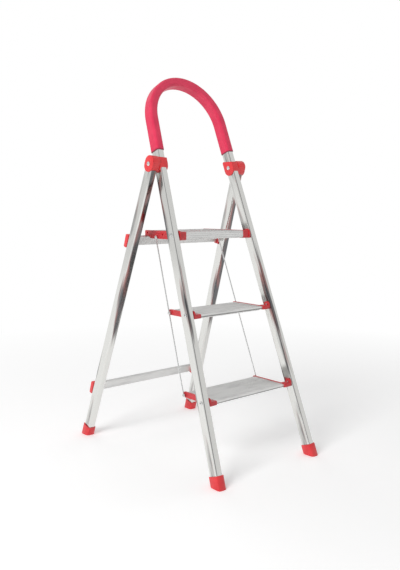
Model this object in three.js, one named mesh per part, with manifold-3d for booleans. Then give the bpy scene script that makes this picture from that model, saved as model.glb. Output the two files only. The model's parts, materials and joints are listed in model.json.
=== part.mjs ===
// Folding step ladder with three treads: a leaning front frame whose tubes run up into a padded
// handle hoop, and a rear frame that is hinged to it. The treads turn on bolts through the stiles,
// two tie rods keep them parallel, and the platform hooks over the rear frame's upper cross bar.
// Millimetres. +Z is up, -Y is the side that is climbed, +X is the climber's right.
// The origin is on the floor, in the middle of the four feet.
import * as THREE from 'three';
import { mergeVertices } from 'three/addons/utils/BufferGeometryUtils.js';
import Module from 'manifold-3d';

const wasm = await Module();
wasm.setup();

const degree = Math.PI / 180;

// Whole ladder
const hingeHeight = 861;            // rivet that joins the two frames
const frontLean = 19.5 * degree;    // stiles, back from the vertical
const rearLean = 19 * degree;       // rear legs, forward from the vertical
const frontHalfSpread = 188.3;      // stile axis from the middle, at the floor
const frontTaper = 2.9 * degree;    // stiles come together towards the top
const rearTaper = 3.1 * degree;
const handleRise = 254;             // hoop's centre line above the hinge
const fit = 0.3;                    // gap left between two pieces that touch
const over = 1;                     // a cutting tool runs past the face that it opens
const farOff = 500;                 // a cutting tool that runs right out of its piece

// Tubes of both frames
const tubeWidth = 22;               // along X
const tubeDepth = 32;
const tubeWall = 1.2;
const tubeCorner = 5;
const tubeStart = 14;               // lower end, above the floor along the tube

// Feet
const bootWall = 3;
const bootTop = 32.5;

// Hinge
const sleeveWall = 2.1;             // beside the tube
const sleeveDepthWall = 3;          // before and behind the tube
const sleeveDrop = 24;              // round end below the rivet
const sleeveRise = 20;              // level top edge above the rivet
const sleeveShoulder = 5;           // rounding of its rear top corner
const hingeGap = 1.2;               // between sleeve and leg cap
const capRise = 24;
const capWall = 1.5;                // cap's thinnest wall, over the leg's top corners
const tubeJoint = 11;               // hoop meets stile, above the rivet
const spigotDrop = 20;
const spigotRise = 60;
const rivetRadius = 3.8;
const rivetHeadRadius = 6.5;
const headHeight = 2.5;
const headGap = 0.7;                // head stands off a face that is not quite square to it

// Handle grip
const gripWall = 1.8;
const gripFit = 0.7;                // foam's bore stands off the tube, all round
const gripStartRight = 50;          // lower ends above the rivet, along the tube
const gripStartLeft = 40;

// Treads
const platformDrop = 193;           // platform surface below the hinge
const treadRise = 228;              // surface to surface
const boltSetback = -6;             // tread bolt from the stile axis, along Y
const platformBoltDrop = 7;         // bolt below the platform's surface
const treadBoltRise = 3;            // bolt above a lower tread's surface
const boltRadius = 3;
const boltHeadRadius = 5;
const boltReach = 20;               // bolt tip inboard of the stile axis
const deckInset = 39;               // deck end inboard of the stile axis
const stripInset = 33;              // outer face of an end cap's long part
const bossInset = 12.7;             // outer face of an end cap at the bolt
const cheekInset = 17.5;            // inner face of the cheek that holds the bolt
const capLip = 1.2;                 // end cap stands proud of the deck
const capCorner = 4;
const noseRise = 2.5;               // end cap's nose above the tread's surface
const treadFront = -5;              // from the bolt
const treadRear = 119;
const treadThickness = 14;
const noseThickness = 9;
const platformFront = -7;
const platformThickness = 22;
const platformEdge = 2;             // bevel at the top and bottom of the front face
const platformGrooves = 3;          // grooves along the front face
const platformChambers = 4;
const treadChambers = 3;
const noseBlend = 3;                // half the slope from a tread's nose to its body
const platformLip = 6;              // rear edge that reaches over the cross bar
const hookGap = 0.6;                // bracket's hook to the bar, all round
const hookDepth = 4.5;              // hook reaches down behind the bar
const hookWall = 5;
const hookDraft = 1;                // hook leans away from the bar
const hookBevel = 2;
const shelfReach = 8;               // bracket's shelf starts ahead of the bar
const shelfStep = 6;
const deckBarGap = 6;               // deck's body stops short of the bar
const deckWall = 1.8;
const groovePitch = 6;
const grooveWidth = 1.6;
const grooveDepth = 0.9;
const bossRadius = 10;
const platformBossRadius = 12;
const platformNose = 8;             // bracket's front ahead of the bolt, beside the deck
const plugLength = 18;
const capSlope = [-2, 4];           // fall from nose to strip, from the boss's edge
const bellyStart = 7;               // full depth of a cap, behind the boss's edge

// Tie rods
const rodRadius = 2;
const rodInset = 28;                // from the stile axis
const rodHoleBack = 121;            // from the tread bolt
const rodHoleDrop = 12;
const lugRadius = 6.5;              // end of a cap behind the rod's hole
const eyeRadius = 5;
const eyeThickness = 4.2;
const pinRadius = 2;
const pinHeadRadius = 3.6;
const pinGrip = 4;                  // pin's reach into its cap
const wireFacets = 10;

// Rear cross bars and their end clamps
const barDepth = 9;
const barHeight = 30;
const barWall = 1.2;
const barCorner = 3;
const upperBarDrop = 29;            // bar centre below the platform's surface
const lowerBarHeight = 162;
const barEnd = 4;                   // bar reaches past the leg's axis
const clampHeight = 40;
const clampWall = 1.8;
const clampCorner = 3;
const lugThickness = 2.2;
const lugTrim = 2;                  // lug is shorter than its clamp, at each end
const lugDepth = 8;
const clampRivetRadius = 2.6;
const clampRivetHead = 5;
const clampRivetGrip = 6;           // rivet's reach into the leg

// Worked out from the sizes above
const hingeAlongFront = hingeHeight / Math.cos(frontLean);
const hingeAlongRear = hingeHeight / Math.cos(rearLean);
const sleeveHalfWidth = tubeWidth / 2 + fit + sleeveWall;
const sleeveHalfDepth = tubeDepth / 2 + fit + sleeveDepthWall;
const stileAxisX = (along) => frontHalfSpread - along * Math.tan(frontTaper);
const hingeStileX = stileAxisX(hingeAlongFront);
const hingeLegX = hingeStileX + 2 * sleeveHalfWidth + hingeGap;
const rearHalfSpread = hingeLegX + hingeAlongRear * Math.tan(rearTaper);
const legAxisX = (along) => rearHalfSpread - along * Math.tan(rearTaper);
const bootHalfDepth = tubeDepth / 2 + fit + bootWall;
const footprint = hingeHeight * (Math.tan(frontLean) + Math.tan(rearLean));
const bootOverhang = bootHalfDepth * (1 / Math.cos(frontLean) - 1 / Math.cos(rearLean));
const frontAxisY = (bootOverhang - footprint) / 2;
const rearAxisY = frontAxisY + footprint;
const platformHeight = hingeHeight - platformDrop;

// Each tread turns about a bolt; top and bottom are its faces, measured from that bolt
const treads = [
  { name: 'platform', height: platformHeight, boltAbove: -platformBoltDrop, front: platformFront },
  { name: 'middle_tread', height: platformHeight - treadRise, boltAbove: treadBoltRise, front: treadFront },
  { name: 'bottom_tread', height: platformHeight - 2 * treadRise, boltAbove: treadBoltRise, front: treadFront },
];
for (const tread of treads) {
  tread.boltHeight = tread.height + tread.boltAbove;
  tread.boltY = frontAxisY + tread.boltHeight * Math.tan(frontLean) + boltSetback;
  tread.along = tread.boltHeight / Math.cos(frontLean) + boltSetback * Math.sin(frontLean);
  tread.axisX = stileAxisX(tread.along);
  tread.top = -tread.boltAbove;
}
const boltAcross = boltSetback * Math.cos(frontLean);

// Cross bars: places along the rear legs, and across their plane behind the tubes
const barAcross = tubeDepth / 2 + fit + clampWall + fit + barDepth / 2;
const clampInboard = tubeWidth / 2 + fit + lugThickness / 2;
const barAlong = (height) => (height - barAcross * Math.sin(rearLean)) / Math.cos(rearLean);
const bars = [
  { name: 'upper', along: barAlong(platformHeight - upperBarDrop) },
  { name: 'lower', along: barAlong(lowerBarHeight) },
];
for (const bar of bars) bar.axisX = legAxisX(bar.along);

// Materials
const steel = new THREE.MeshStandardMaterial({ color: 0xc9c9c5, roughness: 0.28, metalness: 1 });
const aluminium = new THREE.MeshStandardMaterial({ color: 0xc6c8ca, roughness: 0.45, metalness: 1 });
const redPlastic = new THREE.MeshStandardMaterial({ color: 0xd8323c, roughness: 0.4, metalness: 0 });
const grey = new THREE.MeshStandardMaterial({ color: 0x4a4a4c, roughness: 0.6, metalness: 0 });
const foam = new THREE.MeshStandardMaterial({ color: 0xe5486c, roughness: 0.8, metalness: 0 });

// Booleans
function toSolid(geometry) {
  const bare = geometry.clone();
  bare.deleteAttribute('normal');
  bare.deleteAttribute('uv');
  const merged = mergeVertices(bare, 1e-4);
  return new wasm.Manifold(new wasm.Mesh({
    numProp: 3,
    vertProperties: new Float32Array(merged.attributes.position.array),
    triVerts: new Uint32Array(merged.index.array),
  }));
}

function toGeometry(solid) {
  const mesh = solid.getMesh();
  const geometry = new THREE.BufferGeometry();
  geometry.setAttribute('position', new THREE.BufferAttribute(new Float32Array(mesh.vertProperties), 3));
  geometry.setIndex(new THREE.BufferAttribute(new Uint32Array(mesh.triVerts), 1));
  geometry.computeVertexNormals();
  return geometry;
}

function cut(body, ...tools) {
  return toGeometry(tools.reduce((solid, tool) => solid.subtract(toSolid(tool)), toSolid(body)));
}

function join(body, ...more) {
  return toGeometry(more.reduce((solid, piece) => solid.add(toSolid(piece)), toSolid(body)));
}

// Outlines
function roundedRectangle(width, depth, radius, shape = new THREE.Shape()) {
  const x = width / 2 - radius;
  const y = depth / 2 - radius;
  shape.moveTo(x + radius, -y);
  shape.absarc(x, y, radius, 0, Math.PI / 2);
  shape.absarc(-x, y, radius, Math.PI / 2, Math.PI);
  shape.absarc(-x, -y, radius, Math.PI, 1.5 * Math.PI);
  shape.absarc(x, -y, radius, 1.5 * Math.PI, 2 * Math.PI);
  return shape;
}

function ringOutline(width, depth, radius, wall) {
  const shape = roundedRectangle(width, depth, radius);
  const inner = roundedRectangle(width - 2 * wall, depth - 2 * wall, radius - wall, new THREE.Path());
  shape.holes.push(inner);
  return shape;
}

function polygon(points) {
  return new THREE.Shape(points.map(([x, y]) => new THREE.Vector2(x, y)));
}

// Solids
function alongZ(shape, from, to, curveSegments = 1) {
  const geometry = new THREE.ExtrudeGeometry(shape, { depth: to - from, bevelEnabled: false, curveSegments });
  return geometry.translate(0, 0, from);
}

// An outline drawn in Y and Z, carried along X
const acrossX = new THREE.Matrix4().makeBasis(
  new THREE.Vector3(0, 1, 0), new THREE.Vector3(0, 0, 1), new THREE.Vector3(1, 0, 0));

function alongX(shape, a, b, curveSegments = 4) {
  const from = Math.min(a, b);
  const geometry = alongZ(shape, 0, Math.abs(b - a), curveSegments);
  return geometry.applyMatrix4(acrossX).translate(from, 0, 0);
}

function box(x0, x1, y0, y1, z0, z1) {
  const geometry = new THREE.BoxGeometry(Math.abs(x1 - x0), y1 - y0, z1 - z0);
  return geometry.translate((x0 + x1) / 2, (y0 + y1) / 2, (z0 + z1) / 2);
}

function cylinderX(radius, a, b, y = 0, z = 0, segments = 12) {
  const geometry = new THREE.CylinderGeometry(radius, radius, Math.abs(b - a), segments);
  return geometry.rotateZ(Math.PI / 2).translate((a + b) / 2, y, z);
}

// A headed pin along +Z: the head's underside is at 0, the shank runs down to -length.
// A second head closes the far end when farHead is given.
function headedPin(radius, headRadius, length, farHead = false, segments = 12) {
  const dome = (count, at, sign) => Array.from({ length: count + 1 }, (_, i) => {
    const angle = (i / count) * (Math.PI / 2);
    return new THREE.Vector2(headRadius * Math.cos(angle), at + sign * headHeight * Math.sin(angle));
  });
  const profile = farHead
    ? [...dome(3, -length, -1).reverse(), new THREE.Vector2(radius, -length)]
    : [new THREE.Vector2(0, -length), new THREE.Vector2(radius, -length)];
  profile.push(new THREE.Vector2(radius, 0), ...dome(3, 0, 1));
  profile.forEach((point) => { if (Math.abs(point.x) < 1e-9) point.x = 0; });
  return new THREE.LatheGeometry(profile, segments).rotateX(Math.PI / 2);
}

// Scene graph
const ladder = new THREE.Group();

function add(parent, name, geometry, material) {
  const mesh = new THREE.Mesh(geometry, material);
  mesh.name = name;
  parent.add(mesh);
  return mesh;
}

// Plane of each frame: its Z runs up the frame, its Y points to the rear
const frontPlane = new THREE.Group();
frontPlane.position.set(0, frontAxisY, 0);
frontPlane.rotation.x = -frontLean;
ladder.add(frontPlane);

const rearPlane = new THREE.Group();
rearPlane.position.set(0, rearAxisY, 0);
rearPlane.rotation.x = rearLean;
ladder.add(rearPlane);

const sides = [{ name: 'left', sign: -1 }, { name: 'right', sign: 1 }];

// Carries a piece drawn around the Z axis onto a tapered tube of a frame
function ontoTube(geometry, side, halfSpread, taper) {
  return geometry.rotateY(-side.sign * taper).translate(side.sign * halfSpread, 0, 0);
}
const ontoStile = (geometry, side) => ontoTube(geometry, side, frontHalfSpread, frontTaper);
const ontoLeg = (geometry, side) => ontoTube(geometry, side, rearHalfSpread, rearTaper);

const tubeOutline = ringOutline(tubeWidth, tubeDepth, tubeCorner, tubeWall);
const tubeHole = roundedRectangle(tubeWidth + 2 * fit, tubeDepth + 2 * fit, tubeCorner + fit);
const hingeOnStile = hingeAlongFront / Math.cos(frontTaper);
const hingeOnLeg = hingeAlongRear / Math.cos(rearTaper);
const hingeBoreReach = 2 * sleeveHalfWidth;

function hingeBore(side, axisX, along) {
  const centre = side.sign * axisX;
  return cylinderX(rivetRadius + fit, centre - hingeBoreReach, centre + hingeBoreReach, 0, along);
}

function boltBores(side) {
  return treads.map((tread) => {
    const centre = side.sign * tread.axisX;
    return cylinderX(boltRadius + fit, centre - tubeWidth, centre + tubeWidth, boltAcross, tread.along);
  });
}

// Feet: moulded boots over the tube ends, with level soles
function boot(side, ontoFrameTube, lean) {
  const width = tubeWidth + 2 * (fit + bootWall);
  const outline = roundedRectangle(width, 2 * bootHalfDepth, tubeCorner + bootWall);
  const body = ontoFrameTube(alongZ(outline, -tubeStart, bootTop), side);
  const pocket = ontoFrameTube(alongZ(tubeHole, tubeStart - fit, bootTop + over), side);
  const floor = box(-farOff, farOff, -farOff, farOff, -farOff, 0).rotateX(lean);
  return cut(body, pocket, floor);
}

// Hinge sleeve on a stile: round end below the rivet, top edge level when the ladder stands open
function sleeveOutline() {
  const centre = hingeOnStile - sleeveDrop + sleeveHalfDepth;
  const topAt = (across) => hingeOnStile + sleeveRise / Math.cos(frontLean) + across * Math.tan(frontLean);
  const shape = new THREE.Shape();
  const inset = sleeveHalfDepth - sleeveShoulder;
  shape.absarc(inset, topAt(inset) - sleeveShoulder, sleeveShoulder, 0, Math.PI / 2);
  shape.lineTo(-sleeveHalfDepth, topAt(-sleeveHalfDepth));
  shape.absarc(0, centre, sleeveHalfDepth, Math.PI, 2 * Math.PI);
  return shape;
}

// Cap on top of a rear leg: round at both ends
function capOutline() {
  const shape = new THREE.Shape();
  shape.absarc(0, hingeOnLeg + capRise - sleeveHalfDepth, sleeveHalfDepth, 0, Math.PI);
  shape.absarc(0, hingeOnLeg - capRise + sleeveHalfDepth, sleeveHalfDepth, Math.PI, 2 * Math.PI);
  return shape;
}

const stileTop = hingeOnStile + tubeJoint;
const capCentre = hingeOnLeg + capRise - sleeveHalfDepth;
const legTop = capCentre + Math.sqrt((sleeveHalfDepth - capWall) ** 2 - (tubeDepth / 2 + fit) ** 2) - fit;

// Front frame, each side
for (const side of sides) {
  const bore = () => hingeBore(side, hingeStileX, hingeAlongFront);

  const stile = ontoStile(alongZ(tubeOutline, tubeStart, stileTop), side);
  add(frontPlane, `front_stile_${side.name}`, cut(stile, bore(), ...boltBores(side)), steel);

  add(frontPlane, `front_foot_${side.name}`, boot(side, ontoStile, frontLean), redPlastic);

  const sleeve = ontoStile(alongX(sleeveOutline(), -sleeveHalfWidth, sleeveHalfWidth, 6), side);
  const passage = ontoStile(alongZ(tubeHole, stileTop - farOff, stileTop + farOff), side);
  add(frontPlane, `hinge_sleeve_${side.name}`, cut(sleeve, passage, bore()), redPlastic);

  const plug = roundedRectangle(
    tubeWidth - 2 * (tubeWall + fit), tubeDepth - 2 * (tubeWall + fit), tubeCorner - tubeWall);
  const spigot = ontoStile(alongZ(plug, hingeOnStile - spigotDrop, hingeOnStile + spigotRise), side);
  add(frontPlane, `handle_spigot_${side.name}`, cut(spigot, bore()), grey);

  const inner = hingeStileX - sleeveHalfWidth - headGap;
  const outer = hingeLegX + sleeveHalfWidth + headGap;
  const rivet = add(frontPlane, `hinge_rivet_${side.name}`,
    headedPin(rivetRadius, rivetHeadRadius, outer - inner, true), steel);
  rivet.position.set(side.sign * outer, 0, hingeAlongFront);
  rivet.rotation.y = side.sign * Math.PI / 2;

  for (const tread of treads) {
    const head = tread.axisX + tubeWidth / 2 + headGap;
    const length = head - (tread.axisX - boltReach);
    const bolt = add(frontPlane, `${tread.name}_bolt_${side.name}`,
      headedPin(boltRadius, boltHeadRadius, length), steel);
    bolt.position.set(side.sign * head, boltAcross, tread.along);
    bolt.rotation.y = side.sign * Math.PI / 2;
  }
}

// Handle hoop: straight on from each stile, then one round arc that touches both
class HoopCurve extends THREE.Curve {
  constructor(rightStart, leftStart) {
    super();
    const topAlong = (hingeHeight + handleRise) / Math.cos(frontLean);
    const sine = Math.sin(frontTaper);
    const cosine = Math.cos(frontTaper);
    this.radius = (frontHalfSpread * cosine - topAlong * sine) / (1 - sine);
    this.centre = topAlong - this.radius;
    const tangent = (this.centre + this.radius * sine) / cosine;
    this.rightStart = rightStart;
    this.leftStart = leftStart;
    this.straight = tangent - rightStart;
    this.arc = this.radius * (Math.PI - 2 * frontTaper);
    this.length = this.straight + this.arc + tangent - leftStart;
  }

  onStile(along, sign, target) {
    const x = frontHalfSpread - along * Math.sin(frontTaper);
    return target.set(sign * x, 0, along * Math.cos(frontTaper));
  }

  getPoint(t, target = new THREE.Vector3()) {
    const fromRight = t * this.length;
    const fromLeft = this.length - fromRight;
    if (fromRight < this.straight) return this.onStile(this.rightStart + fromRight, 1, target);
    if (fromRight > this.straight + this.arc) return this.onStile(this.leftStart + fromLeft, -1, target);
    const angle = frontTaper + (fromRight - this.straight) / this.radius;
    return target.set(this.radius * Math.cos(angle), 0, this.centre + this.radius * Math.sin(angle));
  }
}

const hoopSteps = 30;

function hoopTube(outline, rightStart, leftStart) {
  return new THREE.ExtrudeGeometry(outline, {
    steps: hoopSteps,
    bevelEnabled: false,
    curveSegments: 1,
    extrudePath: new HoopCurve(rightStart, leftStart),
  });
}

// The swept outline's first axis lies across the hoop's plane, so depth comes first
const hoopStart = stileTop + fit;
const hoopOutline = ringOutline(tubeDepth, tubeWidth, tubeCorner, tubeWall);
add(frontPlane, 'handle_hoop', hoopTube(hoopOutline, hoopStart, hoopStart), steel);

const gripGrow = 2 * (gripFit + gripWall);
const gripOutline = ringOutline(
  tubeDepth + gripGrow, tubeWidth + gripGrow, tubeCorner + gripFit + gripWall, gripWall);
add(frontPlane, 'handle_grip',
  hoopTube(gripOutline, hingeOnStile + gripStartRight, hingeOnStile + gripStartLeft), foam);

// Hole for a clamp's rivet, which goes through clamp and bar into the leg
function clampBore() {
  return new THREE.CylinderGeometry(clampRivetRadius + fit, clampRivetRadius + fit, tubeDepth, 12);
}

// Rear frame, each side
for (const side of sides) {
  const bore = () => hingeBore(side, hingeLegX, hingeAlongRear);
  const barRivetBores = () => bars.map(
    (bar) => clampBore().translate(side.sign * bar.axisX, tubeDepth / 2, bar.along));

  const leg = ontoLeg(alongZ(tubeOutline, tubeStart, legTop), side);
  add(rearPlane, `rear_leg_${side.name}`, cut(leg, bore(), ...barRivetBores()), steel);

  add(rearPlane, `rear_foot_${side.name}`, boot(side, ontoLeg, -rearLean), redPlastic);

  const cap = ontoLeg(alongX(capOutline(), -sleeveHalfWidth, sleeveHalfWidth, 6), side);
  const pocket = ontoLeg(alongZ(tubeHole, legTop - farOff, legTop + fit), side);
  add(rearPlane, `leg_cap_${side.name}`, cut(cap, pocket, bore()), redPlastic);
}

// Cross bars and the clamps that hold their ends to the legs
for (const bar of bars) {
  const level = (geometry) => geometry.translate(0, barAcross, bar.along);
  const section = ringOutline(barDepth, barHeight, barCorner, barWall);
  const half = bar.axisX + barEnd;
  const rivetBore = (side) => clampBore().translate(side.sign * bar.axisX, barAcross, bar.along);
  const beam = level(alongX(section, -half, half, 1));
  add(rearPlane, `${bar.name}_cross_bar`, cut(beam, ...sides.map(rivetBore)), aluminium);

  for (const side of sides) {
    const clampHalfDepth = barDepth / 2 + fit + clampWall;
    const outline = roundedRectangle(2 * clampHalfDepth, clampHeight, clampCorner);
    const outer = side.sign * (bar.axisX + tubeWidth / 2);
    const inner = side.sign * (bar.axisX - clampInboard);
    const block = level(alongX(outline, outer, inner, 1));
    const lugFace = tubeWidth / 2 + fit;
    const lug = box(-side.sign * lugFace, -side.sign * (lugFace + lugThickness),
      tubeDepth / 2 - lugDepth, barAcross, -clampHeight / 2 + lugTrim, clampHeight / 2 - lugTrim);
    const lugPlaced = lug.rotateY(-side.sign * rearTaper).translate(side.sign * bar.axisX, 0, bar.along);
    const socket = roundedRectangle(barDepth + 2 * fit, barHeight + 2 * fit, barCorner + fit);
    const socketEnd = side.sign * (half + fit);
    const hole = level(alongX(socket, socketEnd, side.sign * (bar.axisX - 2 * clampInboard), 1));
    add(rearPlane, `${bar.name}_bar_clamp_${side.name}`,
      cut(join(block, lugPlaced), hole, rivetBore(side)), redPlastic);

    const headAt = barAcross + clampHalfDepth + fit;
    const rivet = add(rearPlane, `${bar.name}_clamp_rivet_${side.name}`,
      headedPin(clampRivetRadius, clampRivetHead, headAt - tubeDepth / 2 + clampRivetGrip), steel);
    rivet.position.set(side.sign * bar.axisX, headAt, bar.along);
    rivet.rotation.x = -Math.PI / 2;
  }
}

// Top edge of a deck from rear to front, with grooves that run along X
function groovedTop(front, rear, top) {
  const points = [];
  const count = Math.floor((rear - front - groovePitch) / groovePitch);
  const first = (front + rear - (count - 1) * groovePitch) / 2;
  for (let i = count - 1; i >= 0; i -= 1) {
    const y = first + i * groovePitch;
    points.push([y + grooveWidth / 2, top], [y + grooveWidth / 4, top - grooveDepth],
      [y - grooveWidth / 4, top - grooveDepth], [y - grooveWidth / 2, top]);
  }
  return points;
}

// Chambers side by side in a deck's section, with a web between each two
function chambers(y0, y1, z0, z1, count) {
  const pitch = (y1 - y0 + deckWall) / count;
  return Array.from({ length: count }, (_, i) => ({
    y0: y0 + i * pitch, y1: y0 + (i + 1) * pitch - deckWall, z0, z1,
  }));
}

// Lower tread's deck: thin rounded nose, then a hollow body
function treadDeck(tread) {
  const bottom = tread.top - treadThickness;
  const noseRadius = noseThickness / 2;
  const noseCentre = tread.front + noseRadius;
  const bodyStart = noseCentre + 2 * noseRadius;
  const points = [[treadRear, bottom], [treadRear, tread.top]];
  points.push(...groovedTop(noseCentre, treadRear, tread.top));
  for (let i = 0; i <= 6; i += 1) {
    const angle = Math.PI / 2 + (i / 6) * Math.PI;
    const rise = tread.top - noseRadius + noseRadius * Math.sin(angle);
    points.push([noseCentre + noseRadius * Math.cos(angle), rise]);
  }
  points.push([bodyStart - noseBlend, tread.top - noseThickness], [bodyStart + noseBlend, bottom]);
  const roomTop = tread.top - grooveDepth - deckWall;
  const roomFront = bodyStart + noseBlend + deckWall;
  const rooms = chambers(roomFront, treadRear - deckWall, bottom + deckWall, roomTop, treadChambers);
  return { shape: polygon(points), rooms };
}

// Where the upper cross bar lies, seen from the platform's bolt
const platform = treads[0];
const upperBar = {
  y: rearAxisY - bars[0].along * Math.sin(rearLean) + barAcross * Math.cos(rearLean) - platform.boltY,
  z: bars[0].along * Math.cos(rearLean) + barAcross * Math.sin(rearLean) - platform.boltHeight,
};
function onUpperBar(across, along) {
  return [
    upperBar.y + across * Math.cos(rearLean) - along * Math.sin(rearLean),
    upperBar.z + across * Math.sin(rearLean) + along * Math.cos(rearLean),
  ];
}
const [hookRearY, hookRearZ] = onUpperBar(barDepth / 2 + hookGap, barHeight / 2 + hookGap);
const [hookFrontY] = onUpperBar(-barDepth / 2, barHeight / 2 + hookGap);

// Platform's deck: deeper, square front with grooves, and a thin lip over the cross bar
function platformDeck(tread) {
  const bottom = tread.top - platformThickness;
  const bodyRear = hookFrontY - deckBarGap;
  const lipRear = hookRearY + hookDraft;
  const edge = platformEdge;
  const points = [[bodyRear, bottom], [bodyRear, tread.top - platformLip],
    [lipRear, tread.top - platformLip], [lipRear, tread.top]];
  points.push(...groovedTop(tread.front + edge, lipRear, tread.top));
  points.push([tread.front + edge, tread.top], [tread.front, tread.top - edge]);
  const facePitch = (platformThickness - 2 * edge) / platformGrooves;
  for (let i = 0; i < platformGrooves; i += 1) {
    const z = tread.top - edge - (i + 0.5) * facePitch;
    points.push([tread.front, z + grooveWidth / 2], [tread.front + grooveDepth, z + grooveWidth / 4],
      [tread.front + grooveDepth, z - grooveWidth / 4], [tread.front, z - grooveWidth / 2]);
  }
  points.push([tread.front, bottom + edge], [tread.front + edge, bottom]);
  const rooms = chambers(tread.front + grooveDepth + deckWall, bodyRear - deckWall,
    bottom + deckWall, tread.top - grooveDepth - deckWall, platformChambers);
  return { shape: polygon(points), rooms };
}

// Side view of a lower tread's end cap: nose, and a body that runs on behind the tie rod's hole
function treadCapOutline(tread) {
  const bottom = tread.top - treadThickness - capLip;
  const noseBottom = tread.top - noseThickness - capLip;
  const noseTop = tread.top + noseRise;
  const noseRadius = (noseTop - noseBottom) / 2;
  const top = tread.top + capLip;
  const rear = rodHoleBack + lugRadius;
  const shape = new THREE.Shape();
  shape.moveTo(bossRadius + capSlope[0], noseTop);
  shape.absarc(-bossRadius + noseRadius, noseBottom + noseRadius, noseRadius, 0.5 * Math.PI, 1.5 * Math.PI);
  shape.lineTo(bossRadius, noseBottom);
  shape.lineTo(bossRadius + bellyStart, bottom);
  shape.absarc(rear - capCorner, bottom + capCorner, capCorner, -0.5 * Math.PI, 0);
  shape.absarc(rear - capCorner, top - capCorner, capCorner, 0, 0.5 * Math.PI);
  shape.lineTo(bossRadius + capSlope[1], top);
  return shape;
}

// Side view of the cheek: round over the bolt, down to the underside of the nose
function cheekOutline(radius, bottom, corner) {
  const shape = new THREE.Shape();
  shape.absarc(0, 0, radius, 0, Math.PI);
  shape.absarc(-radius + corner, bottom + corner, corner, Math.PI, 1.5 * Math.PI);
  shape.lineTo(radius, bottom);
  return shape;
}

// Side view of the nose between the cheek and the deck
function noseOutline(radius, bottom, top, corner) {
  const shape = new THREE.Shape();
  shape.absarc(-radius + corner, top - corner, corner, 0.5 * Math.PI, Math.PI);
  shape.absarc(-radius + corner, bottom + corner, corner, Math.PI, 1.5 * Math.PI);
  shape.lineTo(radius, bottom);
  shape.lineTo(radius, top);
  return shape;
}

// Side view of the platform's bracket: its rear end lies on the cross bar and hooks behind it
function bracketOutline(tread) {
  const bottom = tread.top - platformThickness - capLip;
  const top = tread.top + capLip;
  const radius = platformNose;
  const corner = capCorner;
  const tip = hookRearY + hookWall;
  const [slopeY, slopeZ] = onUpperBar(-barDepth / 2 - shelfReach, barHeight / 2 + hookGap);
  const shape = new THREE.Shape();
  shape.absarc(-radius + corner, top - corner, corner, 0.5 * Math.PI, Math.PI);
  shape.absarc(-radius + corner, bottom + corner, corner, Math.PI, 1.5 * Math.PI);
  shape.lineTo(slopeY - shelfStep, bottom);
  shape.lineTo(slopeY, slopeZ);
  shape.lineTo(hookRearY, hookRearZ);
  shape.lineTo(hookRearY + hookDraft, hookRearZ - hookDepth);
  shape.lineTo(tip, hookRearZ - hookBevel);
  shape.absarc(tip - corner, top - corner, corner, 0, 0.5 * Math.PI);
  return shape;
}

// An end cap: long part beside the deck, nose and cheek out to the stile, plugs in the deck's chambers
function endCap(tread, side, outlines, rooms) {
  const at = (inset) => side.sign * (tread.axisX - inset);
  const strip = alongX(outlines.strip, at(stripInset), at(deckInset - fit));
  const nose = alongX(outlines.nose, at(bossInset + over), at(deckInset - fit - over));
  const cheek = alongX(outlines.cheek, at(bossInset), at(cheekInset));
  const plugs = [rooms[0], rooms[rooms.length - 1]].map((room) => box(
    at(deckInset - fit - over), at(deckInset + plugLength),
    room.y0 + 2 * fit, room.y1 - 2 * fit, room.z0 + 2 * fit, room.z1 - 2 * fit));
  const boltBore = cylinderX(boltRadius + fit, at(0), at(boltReach + over), 0, 0);
  const pinEnd = at(stripInset + pinGrip + 2 * fit);
  const pinBore = cylinderX(pinRadius + fit, at(0), pinEnd, rodHoleBack, -rodHoleDrop);
  return cut(join(strip, nose, cheek, ...plugs), boltBore, pinBore);
}

for (const tread of treads) {
  const group = new THREE.Group();
  group.position.set(0, tread.boltY, tread.boltHeight);
  ladder.add(group);

  const isPlatform = tread === platform;
  const { shape, rooms } = isPlatform ? platformDeck(tread) : treadDeck(tread);
  const half = tread.axisX - deckInset;
  const hollows = rooms.map((room) => box(-half - over, half + over, room.y0, room.y1, room.z0, room.z1));
  add(group, `${tread.name}_deck`, cut(alongX(shape, -half, half), ...hollows), aluminium);

  const cheekRadius = isPlatform ? platformBossRadius : bossRadius;
  const noseFront = isPlatform ? platformNose : bossRadius;
  const noseBottom = tread.top - (isPlatform ? platformThickness : noseThickness) - capLip;
  const noseTop = tread.top + (isPlatform ? capLip : noseRise);
  const outlines = {
    strip: isPlatform ? bracketOutline(tread) : treadCapOutline(tread),
    nose: noseOutline(noseFront, noseBottom, noseTop, capCorner),
    cheek: cheekOutline(cheekRadius, noseBottom, capCorner),
  };
  for (const side of sides) {
    const name = isPlatform ? 'platform_bracket' : `${tread.name}_cap`;
    add(group, `${name}_${side.name}`, endCap(tread, side, outlines, rooms), redPlastic);

    const eyeOuter = rodInset - eyeThickness / 2;
    const head = tread.axisX - eyeOuter + fit;
    const length = head - (tread.axisX - stripInset - pinGrip);
    const pin = add(group, `${tread.name}_rod_pin_${side.name}`,
      headedPin(pinRadius, pinHeadRadius, length), steel);
    pin.position.set(side.sign * head, rodHoleBack, -rodHoleDrop);
    pin.rotation.y = side.sign * Math.PI / 2;
  }
}

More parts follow.
